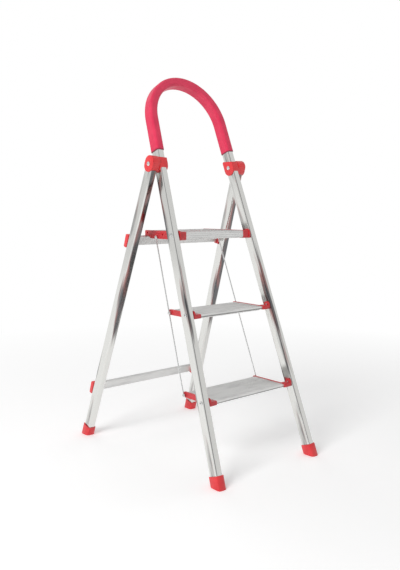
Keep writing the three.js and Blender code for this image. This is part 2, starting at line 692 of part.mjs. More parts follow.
// Tie rods: one wire each side, with an eye for every tread's pin
for (const side of sides) {
  const holes = treads.map((tread) => new THREE.Vector3(
    side.sign * (tread.axisX - rodInset), tread.boltY + rodHoleBack, tread.boltHeight - rodHoleDrop));
  const top = holes[0];
  const bottom = holes[holes.length - 1];
  const span = new THREE.Vector3().subVectors(bottom, top);
  const wire = new THREE.CylinderGeometry(rodRadius, rodRadius, span.length(), wireFacets);
  wire.applyQuaternion(new THREE.Quaternion().setFromUnitVectors(
    new THREE.Vector3(0, -1, 0), span.clone().normalize()));
  wire.translate(span.x / 2, span.y / 2, span.z / 2);
  const eyes = [];
  const bores = [];
  for (const hole of holes) {
    const place = new THREE.Vector3().subVectors(hole, top);
    const halfThickness = eyeThickness / 2;
    eyes.push(cylinderX(eyeRadius, place.x - halfThickness, place.x + halfThickness, place.y, place.z));
    bores.push(cylinderX(pinRadius + fit, place.x - eyeThickness, place.x + eyeThickness, place.y, place.z));
  }
  const rod = add(ladder, `tie_rod_${side.name}`, cut(join(wire, ...eyes), ...bores), steel);
  rod.position.copy(top);
}

export default ladder;
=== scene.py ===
import json
import math

import bmesh
import bpy
from mathutils import Matrix, Vector


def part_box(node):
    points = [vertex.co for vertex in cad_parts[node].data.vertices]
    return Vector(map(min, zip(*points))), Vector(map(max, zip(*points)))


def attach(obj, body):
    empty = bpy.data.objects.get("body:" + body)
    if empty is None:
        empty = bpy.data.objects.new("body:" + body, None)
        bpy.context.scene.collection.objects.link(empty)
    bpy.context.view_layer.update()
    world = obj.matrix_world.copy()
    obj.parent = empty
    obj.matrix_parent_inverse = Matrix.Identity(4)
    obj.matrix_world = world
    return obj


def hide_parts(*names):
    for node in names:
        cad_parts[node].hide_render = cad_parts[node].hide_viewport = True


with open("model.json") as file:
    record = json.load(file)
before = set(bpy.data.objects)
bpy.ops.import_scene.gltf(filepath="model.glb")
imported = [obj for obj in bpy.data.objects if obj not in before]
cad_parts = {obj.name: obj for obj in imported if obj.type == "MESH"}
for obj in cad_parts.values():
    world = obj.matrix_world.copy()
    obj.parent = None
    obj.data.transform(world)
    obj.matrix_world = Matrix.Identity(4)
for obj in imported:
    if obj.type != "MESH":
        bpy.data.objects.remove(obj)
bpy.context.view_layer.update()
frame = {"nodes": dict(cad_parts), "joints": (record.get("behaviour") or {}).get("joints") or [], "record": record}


# ---------------------------------------------------------------------------------------------
# Stiles and rear legs. Each is a thin-walled stainless tube, drawn to a rounded rectangle and
# polished along its length. The stiles lean back and the legs lean forward to meet at the hinge,
# and both pairs come closer together towards the top.

sharp_edge = math.radians(32)            # two faces that meet more steeply than this show an edge


def placed_mesh(name, points, faces, body, corners):
    """A new piece of the ladder with its place in its mesh, riding on a body."""
    mesh = bpy.data.meshes.new(name)
    mesh.from_pydata(points, [], faces)
    layer = mesh.uv_layers.new(name="along")
    for loop, uv in zip(layer.data, corners):
        loop.uv = uv
    mesh.validate()
    mesh.shade_smooth()
    mesh.set_sharp_from_angle(angle=sharp_edge)
    piece = bpy.data.objects.new(name, mesh)
    bpy.context.scene.collection.objects.link(piece)
    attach(piece, body)
    return piece


def rounded_outline(width, depth, corner, steps=7, shoulder=0.0004):
    """Points round a rectangle with round corners; a shoulder keeps its flats flat."""
    points = []
    for turn in range(4):
        x = (width / 2 - corner) * (1, -1, -1, 1)[turn]
        y = (depth / 2 - corner) * (1, 1, -1, -1)[turn]
        tangent = math.radians(90 * turn)
        before = Vector((math.sin(tangent), -math.cos(tangent))) * shoulder
        arc = [Vector((x + corner * math.cos(tangent + math.radians(90) * i / steps),
                       y + corner * math.sin(tangent + math.radians(90) * i / steps)))
               for i in range(steps + 1)]
        after = Vector((-math.cos(tangent), -math.sin(tangent))) * shoulder
        points += [arc[0] + before, *arc, arc[-1] + after]
    return points


def drawn_tube(name, stations, outer, inner, body):
    """A hollow section carried through a row of stations, with a ring closing each end."""
    count, rings = len(outer), len(stations)
    girth = [0.0]
    for a, b in zip(outer, outer[1:] + outer[:1]):
        girth.append(girth[-1] + (b - a).length)
    run = [0.0]
    for a, b in zip(stations, stations[1:]):
        run.append(run[-1] + (b.translation - a.translation).length)
    points = [station @ Vector((p.x, p.y, 0)) for outline in (outer, inner)
              for station in stations for p in outline]
    faces, corners = [], []

    def at(shell, ring, i):
        return (shell * rings + ring) * count + i % count

    def face(cells):
        faces.append([at(*cell) for cell in cells])
        corners.extend((girth[i], run[ring]) for _, ring, i in cells)

    for i in range(count):
        for ring in range(rings - 1):
            face([(0, ring, i), (0, ring, i + 1), (0, ring + 1, i + 1), (0, ring + 1, i)])
            face([(1, ring, i + 1), (1, ring, i), (1, ring + 1, i), (1, ring + 1, i + 1)])
        face([(0, 0, i + 1), (0, 0, i), (1, 0, i), (1, 0, i + 1)])
        face([(0, rings - 1, i), (0, rings - 1, i + 1), (1, rings - 1, i + 1), (1, rings - 1, i)])
    return placed_mesh(name, points, faces, body, corners)


class Wire:
    """One output of a shader node. The arithmetic signs add the Math nodes."""

    def __init__(self, finish, socket):
        self.finish, self.socket = finish, socket

    def math(self, operation, *values):
        return self.finish.node("ShaderNodeMath", {"operation": operation}, dict(enumerate(values)))

    def __add__(self, other):
        return self.math("ADD", self, other)

    def __sub__(self, other):
        return self.math("SUBTRACT", self, other)

    def __rsub__(self, other):
        return self.math("SUBTRACT", other, self)

    def __mul__(self, other):
        return self.math("MULTIPLY", self, other)

    __radd__, __rmul__ = __add__, __mul__


class Finish:
    """A procedural material for one of the ladder's finishes."""

    def __init__(self, name):
        self.material = bpy.data.materials.new(name)
        self.material.use_nodes = True
        self.tree = self.material.node_tree
        self.tree.nodes.clear()

    def node(self, kind, settings=None, sockets=None, output=0):
        made = self.tree.nodes.new(kind)
        for key, value in (settings or {}).items():
            if key == "stops":
                elements = made.color_ramp.elements
                while len(elements) < len(value):
                    elements.new(1.0)
                for element, (position, grey) in zip(elements, value):
                    element.position, element.color = position, (grey, grey, grey, 1)
            else:
                setattr(made, key, value)
        for key, value in (sockets or {}).items():
            if isinstance(value, Wire):
                self.tree.links.new(value.socket, made.inputs[key])
            else:
                made.inputs[key].default_value = value
        return Wire(self, made.outputs[output]) if made.outputs else None

    def coordinates(self, source, scale=(1, 1, 1)):
        """The piece's own coordinates, or its map along the tube, stretched."""
        place = self.node("ShaderNodeTexCoord", output=source)
        return self.node("ShaderNodeMapping", {}, {"Vector": place, "Scale": scale})

    def one_of(self, place, axis):
        """One number of a place: 0 is X or round the tube, 1 is Y or along the tube, 2 is Z."""
        return self.node("ShaderNodeSeparateXYZ", {}, {"Vector": place}, output=axis)

    def noise(self, place, scale, detail=3.0, roughness=0.55):
        return self.node("ShaderNodeTexNoise", {}, {
            "Vector": place, "Scale": scale, "Detail": detail, "Roughness": roughness})

    def ramp(self, value, stops):
        return self.node("ShaderNodeValToRGB", {"stops": stops}, {"Fac": value})

    def mix(self, factor, a, b):
        return self.node("ShaderNodeMix", {"data_type": "RGBA"}, {0: factor, 6: a, 7: b}, output=2)

    def bump(self, height, distance, strength=1.0):
        return self.node("ShaderNodeBump", {}, {
            "Height": height, "Distance": distance, "Strength": strength})

    def surface(self, **sockets):
        named = {key.replace("_", " "): value for key, value in sockets.items()}
        shader = self.node("ShaderNodeBsdfPrincipled", {}, named)
        self.node("ShaderNodeOutputMaterial", {}, {"Surface": shader})
        return self.material


OBJECT, ALONG = 3, 2        # outputs of the Texture Coordinate node: object, and the tube's own map


def tube_finish(name, painted_reflection_face, painted_reflection_run, painted_reflection_depth):
    """Polished stainless: drawing lines, long soft dark and reddish bands that are painted reflections, and one
    stretch of a face painted darker as a reflection.
    """
    made = Finish(name)
    polish, face_edge, run_edge = 0.09, 0.002, 0.08
    lines = made.noise(made.coordinates(ALONG, (900, 5, 1)), 1.0, 2.0)
    # painted reflections: dark bands stand for a dark room mirrored, reddish ones for the red mouldings mirrored,
    # laid into the base colour
    bands = made.noise(made.coordinates(ALONG, (40, 3.2, 1)), 1.0, 3.0, 0.5)
    cloud = made.noise(made.coordinates(OBJECT), 26.0)
    red_reflection_noise = made.noise(made.coordinates(ALONG, (30, 5.5, 1)), 1.0, 2.0)
    painted_red_reflection = made.ramp(red_reflection_noise, [(0.50, 0.0), (0.60, 1.0)])
    place = made.coordinates(ALONG)
    # painted reflection: one stretch of one face is painted darker
    start, stop = painted_reflection_face
    on_face = made.ramp(made.one_of(place, 0), [
        (start - face_edge, 0.0), (start, 1.0), (stop, 1.0), (stop + face_edge, 0.0)])
    start, stop = painted_reflection_run
    on_run = made.ramp(made.one_of(place, 1), [
        (start - run_edge, 0.0), (start + run_edge, 1.0), (stop - run_edge, 1.0), (stop + run_edge, 0.0)])
    shade = made.ramp(bands + on_face * on_run * painted_reflection_depth, [(0.54, 0.0), (0.66, 0.95)])
    # the colours of the painted reflections: dark grey, and reddish brown for the mirrored red mouldings
    painted_reflection_colour = made.mix(painted_red_reflection, (0.13, 0.13, 0.135, 1), (0.34, 0.17, 0.16, 1))
    return made.surface(
        Base_Color=made.mix(shade, (0.76, 0.76, 0.735, 1), painted_reflection_colour),
        Metallic=1.0,
        Roughness=polish + lines * 0.06 + cloud * 0.07,
        Normal=made.bump(lines, 0.00002, 0.25),
    )


tube_width, tube_depth, tube_wall, tube_corner = 0.022, 0.032, 0.0012, 0.005
tube_start = 0.014                       # lower end, inside the foot
front_lean, rear_lean = math.radians(-19.5), math.radians(19)
front_taper, rear_taper = math.radians(2.9), math.radians(3.1)
sides = {"left": -1, "right": 1}
record = frame["record"]
joint_at = {joint["name"]: Vector(joint["pos_m"]) for joint in frame["joints"]}
hinge = joint_at["rear_fold"]
sole = {m["name"]: Vector(m["pos_m"]) for m in record["mounts"] if "sole" in m["name"]}

tube_outer = rounded_outline(tube_width, tube_depth, tube_corner)
tube_inner = rounded_outline(tube_width - 2 * tube_wall, tube_depth - 2 * tube_wall,
                             tube_corner - tube_wall)


def frame_plane(sole_point, lean):
    """The leaning plane of a frame: its Z runs up the frame and its Y to the rear."""
    return Matrix.Translation((0, sole_point.y, 0)) @ Matrix.Rotation(lean, 4, "X")


def tube_axis(sole_point, lean, taper):
    """The line of one tube, from the floor up."""
    sign = math.copysign(1, sole_point.x)
    return (frame_plane(sole_point, lean) @ Matrix.Translation((sole_point.x, 0, 0))
            @ Matrix.Rotation(-sign * taper, 4, "Y"))


def along(axis, distances):
    return [axis @ Matrix.Translation((0, 0, distance)) for distance in distances]


front_plane = frame_plane(sole["front_sole_left"], front_lean)
rear_plane = frame_plane(sole["rear_sole_left"], rear_lean)
hinge_up_stile = hinge.z / math.cos(front_lean) / math.cos(front_taper)

# painted_reflection_face runs round the section from its rear right corner, painted_reflection_run along the tube
# from its first end: the stretch painted darker as a reflection
polished_tube = tube_finish("polished stainless tube", painted_reflection_face=(0.021, 0.030),
                            painted_reflection_run=(0.68, 0.90), painted_reflection_depth=0.16)
right_stile_tube = tube_finish("polished stainless stile", painted_reflection_face=(0.044, 0.062),
                               painted_reflection_run=(0.05, 0.60), painted_reflection_depth=0.10)
leg_tube = tube_finish("polished stainless leg", painted_reflection_face=(0.0560, 0.0710),
                       painted_reflection_run=(0.38, 0.95), painted_reflection_depth=0.34)


def tube_end(node, axis):
    """How far up its own line a tube's solid reaches."""
    back = axis.inverted()
    return max((back @ vertex.co).z for vertex in frame["nodes"][node].data.vertices)


for side in sides:
    stile_axis = tube_axis(sole[f"front_sole_{side}"], front_lean, front_taper)
    stile_top = tube_end(f"front_stile_{side}", stile_axis)
    stile = drawn_tube(f"stile_{side}", along(stile_axis, [tube_start, stile_top]),
                       tube_outer, tube_inner, "front_frame")
    stile.data.materials.append(right_stile_tube if side == "right" else polished_tube)
    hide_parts(f"front_stile_{side}")

    leg_axis = tube_axis(sole[f"rear_sole_{side}"], rear_lean, rear_taper)
    leg_top = tube_end(f"rear_leg_{side}", leg_axis)
    leg = drawn_tube(f"back_leg_{side}", along(leg_axis, [tube_start, leg_top]),
                     tube_outer, tube_inner, "rear_frame")
    leg.data.materials.append(leg_tube)
    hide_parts(f"rear_leg_{side}")


# ---------------------------------------------------------------------------------------------
# Handle hoop. The same tube, bent to one round arch that runs straight on from each stile. A
# grey plastic plug inside each joint keeps the two ends in line.

handle_rise = 0.254                      # hoop's centre line above the hinge
hoop_gap = 0.0003                        # between the end of a stile and the hoop
hoop_top = (hinge.z + handle_rise) / math.cos(front_lean)
half_spread = sole["front_sole_right"].x
hoop_radius = ((half_spread * math.cos(front_taper) - hoop_top * math.sin(front_taper))
               / (1 - math.sin(front_taper)))
hoop_centre = hoop_top - hoop_radius
hoop_tangent = (hoop_centre + hoop_radius * math.sin(front_taper)) / math.cos(front_taper)


def hoop_stations(right_start, left_start, arc_steps=72, spacing=0.012):
    """Stations round the hoop from the right stile to the left one, lying in the front plane."""
    def climb(start):
        steps = math.ceil((hoop_tangent - start) / spacing)
        return [start + (hoop_tangent - start) * i / steps for i in range(steps)]

    right = tube_axis(sole["front_sole_right"], front_lean, front_taper)
    left = tube_axis(sole["front_sole_left"], front_lean, front_taper)
    arc = []
    for i in range(arc_steps + 1):
        angle = front_taper + (math.pi - 2 * front_taper) * i / arc_steps
        arc.append(front_plane @ Matrix.Translation((0, 0, hoop_centre))
                   @ Matrix.Rotation(-angle, 4, "Y") @ Matrix.Translation((hoop_radius, 0, 0)))
    turned = Matrix.Rotation(math.pi, 4, "Y")
    down = [station @ turned for station in reversed(along(left, climb(left_start)))]
    return along(right, climb(right_start)) + arc + down


hoop = drawn_tube("hoop_tube", hoop_stations(stile_top + hoop_gap, stile_top + hoop_gap),
                  tube_outer, tube_inner, "front_frame")
hoop.data.materials.append(polished_tube)
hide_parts("handle_hoop")


def plastic_finish(name, deep, pale, gloss):
    """Moulded plastic: a fine grain from the tool, and a slight cloudiness in its colour."""
    made = Finish(name)
    grain = 0.00003
    place = made.coordinates(OBJECT)
    cloud = made.noise(place, 38.0)
    pits = made.noise(place, 1900.0, 2.0)
    return made.surface(
        Base_Color=made.mix(made.ramp(cloud, [(0.3, 0.0), (0.7, 1.0)]), deep, pale),
        Roughness=gloss + cloud * 0.10 + pits * 0.05,
        Normal=made.bump(pits, grain, 0.5),
    )


grey_plastic = plastic_finish("grey plastic plug", deep=(0.060, 0.060, 0.064, 1),
                              pale=(0.082, 0.082, 0.086, 1), gloss=0.5)
for side in sides:
    frame["nodes"][f"handle_spigot_{side}"].data.materials[0] = grey_plastic


# ---------------------------------------------------------------------------------------------
# Handle grip. A long sleeve of closed-cell foam with a smooth skin, pushed over the hoop. It is
# a little fuller than the tube, its ends are rounded over, and they don't stop quite level.

grip_gap, grip_wall = 0.0007, 0.0018
grip_start = {"right": 0.050, "left": 0.040}      # lower ends above the hinge rivet
grip_end_radius = 0.0008
grip_extra_corner = 0.003                         # the foam's corner is this much rounder than the tube's


def foam_finish(length):
    """Foam skin: fine cells, a faint draw along the sleeve, an uneven colour and darker cut ends."""
    made = Finish("foam sleeve")
    cut, skinned = 0.0010, 0.0025        # how far the dark cut and its edge reach from each end
    place = made.coordinates(OBJECT)
    cells = made.noise(place, 1300.0, 2.0)
    draw = made.noise(made.coordinates(ALONG, (260, 22, 1)), 1.0)
    cloud = made.noise(place, 30.0)
    tone = made.ramp(cloud * 0.6 + draw * 0.4, [(0.32, 0.0), (0.68, 1.0)])
    cut_end = made.ramp(made.one_of(made.coordinates(ALONG), 1), [
        (cut, 1.0), (skinned, 0.0), (length - skinned, 0.0), (length - cut, 1.0)])
    skin = made.mix(tone, (0.600, 0.020, 0.072, 1), (0.730, 0.042, 0.104, 1))
    return made.surface(
        Base_Color=made.mix(cut_end, skin, (0.230, 0.008, 0.040, 1)),
        Roughness=0.40 + cells * 0.12,
        Normal=made.bump(cells + draw * 0.8, 0.00006, 0.5),
        Sheen_Weight=0.03,
        Sheen_Roughness=0.4,
    )


stations = hoop_stations(hinge_up_stile + grip_start["right"], hinge_up_stile + grip_start["left"],
                         arc_steps=96, spacing=0.006)
grip_outer = rounded_outline(tube_width + 2 * (grip_gap + grip_wall),
                             tube_depth + 2 * (grip_gap + grip_wall),
                             tube_corner + grip_extra_corner, steps=9)
grip_inner = rounded_outline(tube_width + 2 * grip_gap, tube_depth + 2 * grip_gap,
                             tube_corner + grip_gap, steps=9)
grip = drawn_tube("grip_sleeve", stations, grip_outer, grip_inner, "front_frame")
rim = grip.modifiers.new("round ends", "BEVEL")
rim.width, rim.segments = grip_end_radius, 3
rim.limit_method, rim.angle_limit = "ANGLE", math.radians(60)
rounded = bpy.data.meshes.new_from_object(
    grip.evaluated_get(bpy.context.evaluated_depsgraph_get()))
grip.modifiers.clear()
grip.data = rounded
grip_length = sum((b.translation - a.translation).length for a, b in zip(stations, stations[1:]))
grip.data.materials.append(foam_finish(grip_length))
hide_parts("handle_grip")


# ---------------------------------------------------------------------------------------------
# Hinge mouldings. A red nylon sleeve grips each stile, its top cut level, and a red cap closes
# each rear leg. They lie side by side and turn on one rivet. All their edges are radiused.

flat_enough = math.radians(0.6)          # faces this close to one plane are merged into one
real_corner = math.radians(38)           # edges steeper than this are rounded


def moulded(node, name, radius, finish, body, cutters=None):
    """The visible moulding on a solid: its own shape, with pockets cut and every edge rounded."""
    shape = bmesh.new()
    shape.from_mesh(frame["nodes"][node].data)
    bmesh.ops.remove_doubles(shape, verts=shape.verts, dist=2e-6)
    bmesh.ops.dissolve_limit(shape, angle_limit=flat_enough, verts=shape.verts,
                             edges=shape.edges, use_dissolve_boundaries=False)
    mesh = bpy.data.meshes.new(name)
    shape.to_mesh(mesh)
    shape.free()
    mesh.materials.clear()
    piece = bpy.data.objects.new(name, mesh)
    bpy.context.scene.collection.objects.link(piece)
    if cutters:
        pocket = piece.modifiers.new("pockets", "BOOLEAN")
        pocket.operation, pocket.object, pocket.solver = "DIFFERENCE", cutters, "EXACT"
    edge = piece.modifiers.new("edges", "BEVEL")
    edge.width, edge.segments, edge.limit_method = radius, 3, "ANGLE"
    edge.angle_limit, edge.harden_normals = real_corner, False
    finished = bpy.data.meshes.new_from_object(
        piece.evaluated_get(bpy.context.evaluated_depsgraph_get()))
    piece.modifiers.clear()
    piece.data = finished
    finished.shade_smooth()
    finished.set_sharp_from_angle(angle=sharp_edge)
    finished.materials.clear()
    finished.materials.append(finish)
    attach(piece, body)
    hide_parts(node)


sleeve_edge, leg_cap_edge = 0.0009, 0.0012
red_plastic = plastic_finish("red nylon moulding", deep=(0.640, 0.028, 0.036, 1),
                             pale=(0.740, 0.046, 0.052, 1), gloss=0.24)
for side in sides:
    moulded(f"hinge_sleeve_{side}", f"sleeve_{side}", sleeve_edge, red_plastic, "front_frame")
    moulded(f"leg_cap_{side}", f"cap_{side}", leg_cap_edge, red_plastic, "rear_frame")


# ---------------------------------------------------------------------------------------------
# Rivets and bolts. Bright zinc plated, turned from bar: a domed head with a hollow in its
# middle, a plain shank, and on the hinge rivets a second head closed over at the far end.

turned_edge = math.radians(40)


def turned(name, profile, segments=32):
    """A solid of revolution about Z from (radius, height) pairs that start and end on the axis."""
    shape = bmesh.new()
    line = [shape.verts.new((radius, 0, height)) for radius, height in profile]
    edges = [shape.edges.new(pair) for pair in zip(line, line[1:])]
    bmesh.ops.spin(shape, geom=line + edges, cent=(0, 0, 0), axis=(0, 0, 1),
                   angle=2 * math.pi, steps=segments, use_duplicate=False)
    bmesh.ops.remove_doubles(shape, verts=shape.verts, dist=1e-6)
    bmesh.ops.dissolve_degenerate(shape, edges=shape.edges, dist=1e-7)
    bmesh.ops.recalc_face_normals(shape, faces=shape.faces)
    mesh = bpy.data.meshes.new(name)
    shape.to_mesh(mesh)
    shape.free()
    mesh.shade_smooth()
    mesh.set_sharp_from_angle(angle=turned_edge)
    piece = bpy.data.objects.new(name, mesh)
    bpy.context.scene.collection.objects.link(piece)
    return piece


dome_sweep = math.radians(84)            # a dome stops a little short of its crown
hollow_floor = 0.86                      # share of a hollow's radius and depth where its floor begins


def head_profile(radius, height, hollow, depth=0.0013, steps=8):
    """The outline of a domed head from its rim up and in, with a hollow of that radius and depth."""
    dome = []
    for i in range(steps + 1):
        angle = dome_sweep * i / steps
        reach = radius * math.cos(angle)
        if reach > hollow:
            dome.append((reach, height * math.sin(angle)))
    lip = dome[-1][1]
    return dome + [(hollow, lip), (hollow * hollow_floor, lip - depth * hollow_floor), (0, lip - depth)]


def node_tree(name, inputs):
    """A Geometry Nodes tree with a geometry input, the named inputs, and one geometry output."""
    tree = bpy.data.node_groups.new(name, "GeometryNodeTree")
    tree.interface.new_socket("Geometry", in_out="INPUT", socket_type="NodeSocketGeometry")
    for title, kind in inputs.items():
        tree.interface.new_socket(title, in_out="INPUT", socket_type=kind)
    tree.interface.new_socket("Geometry", in_out="OUTPUT", socket_type="NodeSocketGeometry")
    return tree, tree.nodes.new("NodeGroupInput"), tree.nodes.new("NodeGroupOutput")


def chain(tree, *steps):
    """Links each (socket, socket) pair."""
    for source, target in steps:
        tree.links.new(source, target)


def grown(name, seed_mesh, tree, inputs, body):
    """Runs a tree on a seed mesh and keeps the result as a plain mesh that rides on a body."""
    seed = bpy.data.objects.new(name, seed_mesh)
    bpy.context.scene.collection.objects.link(seed)
    modifier = seed.modifiers.new(tree.name, "NODES")
    modifier.node_group = tree
    titles = {item.name: item.identifier for item in tree.interface.items_tree
              if item.in_out == "INPUT"}
    for title, value in inputs.items():
        modifier[titles[title]] = value
    result = bpy.data.meshes.new_from_object(
        seed.evaluated_get(bpy.context.evaluated_depsgraph_get()))
    seed.modifiers.clear()
    seed.data = result
    result.name = name
    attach(seed, body)
    return seed


fastener_tree, given, result = node_tree("set fasteners on points", {
    "Fastener": "NodeSocketObject", "Finish": "NodeSocketMaterial"})
shape_info = fastener_tree.nodes.new("GeometryNodeObjectInfo")
facing = fastener_tree.nodes.new("GeometryNodeInputNamedAttribute")
facing.data_type = "FLOAT_VECTOR"
facing.inputs["Name"].default_value = "facing"
aim = fastener_tree.nodes.new("FunctionNodeAlignRotationToVector")
aim.axis = "Z"
set_on = fastener_tree.nodes.new("GeometryNodeInstanceOnPoints")
real = fastener_tree.nodes.new("GeometryNodeRealizeInstances")
paint = fastener_tree.nodes.new("GeometryNodeSetMaterial")
chain(fastener_tree,
      (given.outputs["Geometry"], set_on.inputs["Points"]),
      (given.outputs["Fastener"], shape_info.inputs["Object"]),
      (shape_info.outputs["Geometry"], set_on.inputs["Instance"]),
      (facing.outputs["Attribute"], aim.inputs["Vector"]),
      (aim.outputs["Rotation"], set_on.inputs["Rotation"]),
      (set_on.outputs["Instances"], real.inputs["Geometry"]),
      (real.outputs["Geometry"], paint.inputs["Geometry"]),
      (given.outputs["Finish"], paint.inputs["Material"]),
      (paint.outputs["Geometry"], result.inputs["Geometry"]))


def fasteners(name, shape, places, body, nodes):
    """One fastener at each (point, facing) pair, in one piece for the body they are fixed to."""
    seed = bpy.data.meshes.new(name)
    seed.from_pydata([point for point, _ in places], [], [])
    attribute = seed.attributes.new("facing", "FLOAT_VECTOR", "POINT")
    for item, (_, direction) in zip(attribute.data, places):
        item.vector = direction
    piece = grown(name, seed, fastener_tree, {"Fastener": shape, "Finish": bright_zinc}, body)
    bpy.data.objects.remove(shape)
    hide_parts(*nodes)


def plated_finish():
    """Bright zinc: faint turning marks and a slightly mottled shine."""
    made = Finish("bright zinc")
    mottle = made.noise(made.coordinates(OBJECT), 420.0)
    marks = made.noise(made.coordinates(OBJECT, (1, 1, 9)), 900.0, 2.0)
    return made.surface(
        Base_Color=made.mix(mottle, (0.70, 0.71, 0.71, 1), (0.86, 0.86, 0.85, 1)),
        Metallic=1.0,
        Roughness=0.20 + mottle * 0.14,
        Normal=made.bump(marks, 0.00002, 0.4),
    )


bright_zinc = plated_finish()
OUT = Vector((1, 0, 0))


def outward(node):
    """The middle of a fastener's outer face and the way it faces, from its solid's box."""
    low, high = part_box(node)
    middle = (low + high) / 2
    sign = math.copysign(1, middle.x)
    return Vector((high.x if sign > 0 else low.x, middle.y, middle.z)), OUT * sign


def crown(radius, hollow, depth=0.0013):
    """The top of a head with its crown at height 0, so that it is set by its outer face."""
    return [(r, h - head_height) for r, h in head_profile(radius, head_height, hollow, depth)]


head_height = 0.0025
shank_chamfer = 0.0006
tread_names = ("platform", "middle_tread", "bottom_tread")
for kind, shank, head, hollow, depth, far_head in (
        ("hinge_rivet", 0.0038, 0.0065, 0.0016, 0.0013, True),
        ("tread_bolt", 0.0030, 0.0050, 0.0024, 0.0050, False)):
    nodes = ([f"hinge_rivet_{side}" for side in sides] if far_head else
             [f"{tread}_bolt_{side}" for tread in tread_names for side in sides])
    low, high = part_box(nodes[0])
    length = high.x - low.x - head_height * (2 if far_head else 1)
    end = -head_height - length
    if far_head:
        closed = [(r, end - h) for r, h in head_profile(head, head_height, 0)[1:-2]]
        foot = [(shank, end), (head, end), *closed, (0, end - head_height)]
    else:
        foot = [(shank, end + shank_chamfer), (shank - shank_chamfer, end), (0, end)]
    profile = foot[::-1] + [(shank, -head_height), (head, -head_height)] + crown(head, hollow, depth)
    fasteners(f"{kind}s", turned(kind, profile), [outward(node) for node in nodes], "front_frame", nodes)


# ---------------------------------------------------------------------------------------------
# Feet. Four boots of the same red nylon, pushed over the tube ends, with soles cut level so
# that they stand flat on the floor.

boot_edge = 0.0011
for side in sides:
    for end in ("front", "rear"):
        moulded(f"{end}_foot_{side}", f"{end}_boot_{side}", boot_edge, red_plastic, f"{end}_frame")


# ---------------------------------------------------------------------------------------------
# Cross bars. Two flat aluminium bars brace the rear legs from behind. Their ends sit in red
# clamps, and a rivet goes through clamp, bar and leg. The platform hooks over the upper bar.

bar_depth, bar_height, bar_wall, bar_corner = 0.009, 0.030, 0.0012, 0.003
clamp_wall, clamp_gap = 0.0018, 0.0003
bar_across = tube_depth / 2 + clamp_gap + clamp_wall + clamp_gap + bar_depth / 2


def aluminium_finish(name, ribbed, bright, painted_shadow_nose=None):
    """Satin anodised extrusion: die lines, light scuffs, and a painted shadow under a nose, below and before."""
    made = Finish(name)
    scuffed = bright - 0.13
    middle, soft_below, soft_before = 0.5, 0.0005, 0.001
    lines = made.noise(made.coordinates(OBJECT, (3, 700, 700)), 1.0, 2.0)
    scuff = made.noise(made.coordinates(OBJECT, (12, 55, 55)), 1.0, 4.0, 0.65)
    dull = made.ramp(scuff, [(0.45, 0.0), (0.75, 1.0)])
    metal = made.mix(dull, (bright, bright, bright - 0.01, 1), (scuffed, scuffed, scuffed - 0.005, 1))
    if painted_shadow_nose:
        below, before = painted_shadow_nose
        place = made.coordinates(OBJECT)
        height, back = made.one_of(place, 2), made.one_of(place, 1)
        under = made.ramp(height - (below - middle), [(middle, 1.0), (middle + soft_below, 0.0)])
        ahead = made.ramp(back - (before - middle), [(middle - soft_before, 1.0), (middle, 0.0)])
        # painted shadow: the underside of the nose is painted dark grey
        metal = made.mix(under * ahead, metal, (0.16, 0.16, 0.16, 1))
    return made.surface(
        Base_Color=metal,
        Metallic=0.9,
        Roughness=0.34 + scuff * 0.12 + lines * 0.08,
        Normal=made.bump(lines, ribbed, 0.5),
    )


clamp_edge = 0.0006
satin_bar = aluminium_finish("satin aluminium bar", ribbed=0.00003, bright=0.72)
bar_outer = rounded_outline(bar_height, bar_depth, bar_corner, steps=6)
bar_inner = rounded_outline(bar_height - 2 * bar_wall, bar_depth - 2 * bar_wall,
                            bar_corner - bar_wall, steps=6)
for bar in ("upper", "lower"):
    low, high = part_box(f"{bar}_cross_bar")
    middle = (low + high) / 2
    up = (rear_plane.inverted() @ middle).z
    level = rear_plane @ Matrix.Translation((0, bar_across, up)) @ Matrix.Rotation(math.pi / 2, 4, "Y")
    beam = drawn_tube(f"{bar}_bar", [level @ Matrix.Translation((0, 0, x)) for x in (low.x, high.x)],
                      bar_outer, bar_inner, "rear_frame")
    beam.data.materials.append(satin_bar)
    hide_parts(f"{bar}_cross_bar")
    for side in sides:
        moulded(f"{bar}_bar_clamp_{side}", f"{bar}_clamp_{side}", clamp_edge, red_plastic, "rear_frame")

clamp_nodes = [f"{bar}_clamp_rivet_{side}" for bar in ("upper", "lower") for side in sides]
backward = rear_plane.to_3x3() @ Vector((0, 1, 0))
clamp_rivet_length, clamp_rivet_shank, clamp_rivet_head, clamp_rivet_hollow = 0.020, 0.0026, 0.005, 0.0014


def backmost(node):
    """The crown of a clamp rivet, which faces squarely back from the rear frame."""
    low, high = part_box(node)
    corners = [v.co for v in frame["nodes"][node].data.vertices]
    far = max(corner.dot(backward) for corner in corners)
    middle = (low + high) / 2
    return middle + backward * (far - middle.dot(backward)), backward


shape = turned("clamp_rivet", [
    (0, -clamp_rivet_length), (clamp_rivet_shank, -clamp_rivet_length),
    (clamp_rivet_shank, -head_height), (clamp_rivet_head, -head_height),
    *crown(clamp_rivet_head, clamp_rivet_hollow)])
fasteners("clamp_rivets", shape, [backmost(node) for node in clamp_nodes], "rear_frame", clamp_nodes)


# ---------------------------------------------------------------------------------------------
# Treads. Each deck is one aluminium extrusion, hollow underneath, with grooves along it and a
# fine grip rib on each side of every groove. Red end caps carry the bolt and the tie rod.

nose_lip, nose_reach = 0.0072, 0.0090     # a lower tread's nose has a painted shadow below and ahead of these
rib_width, rib_height, groove_pitch, rib_spacing = 0.0011, 0.00035, 0.006, 0.0022
rib_end_gap = 0.001                       # a rib is this much shorter than its deck
platform_rib_start, tread_rib_start = 0.002, 0.0045      # plain strip behind each nose

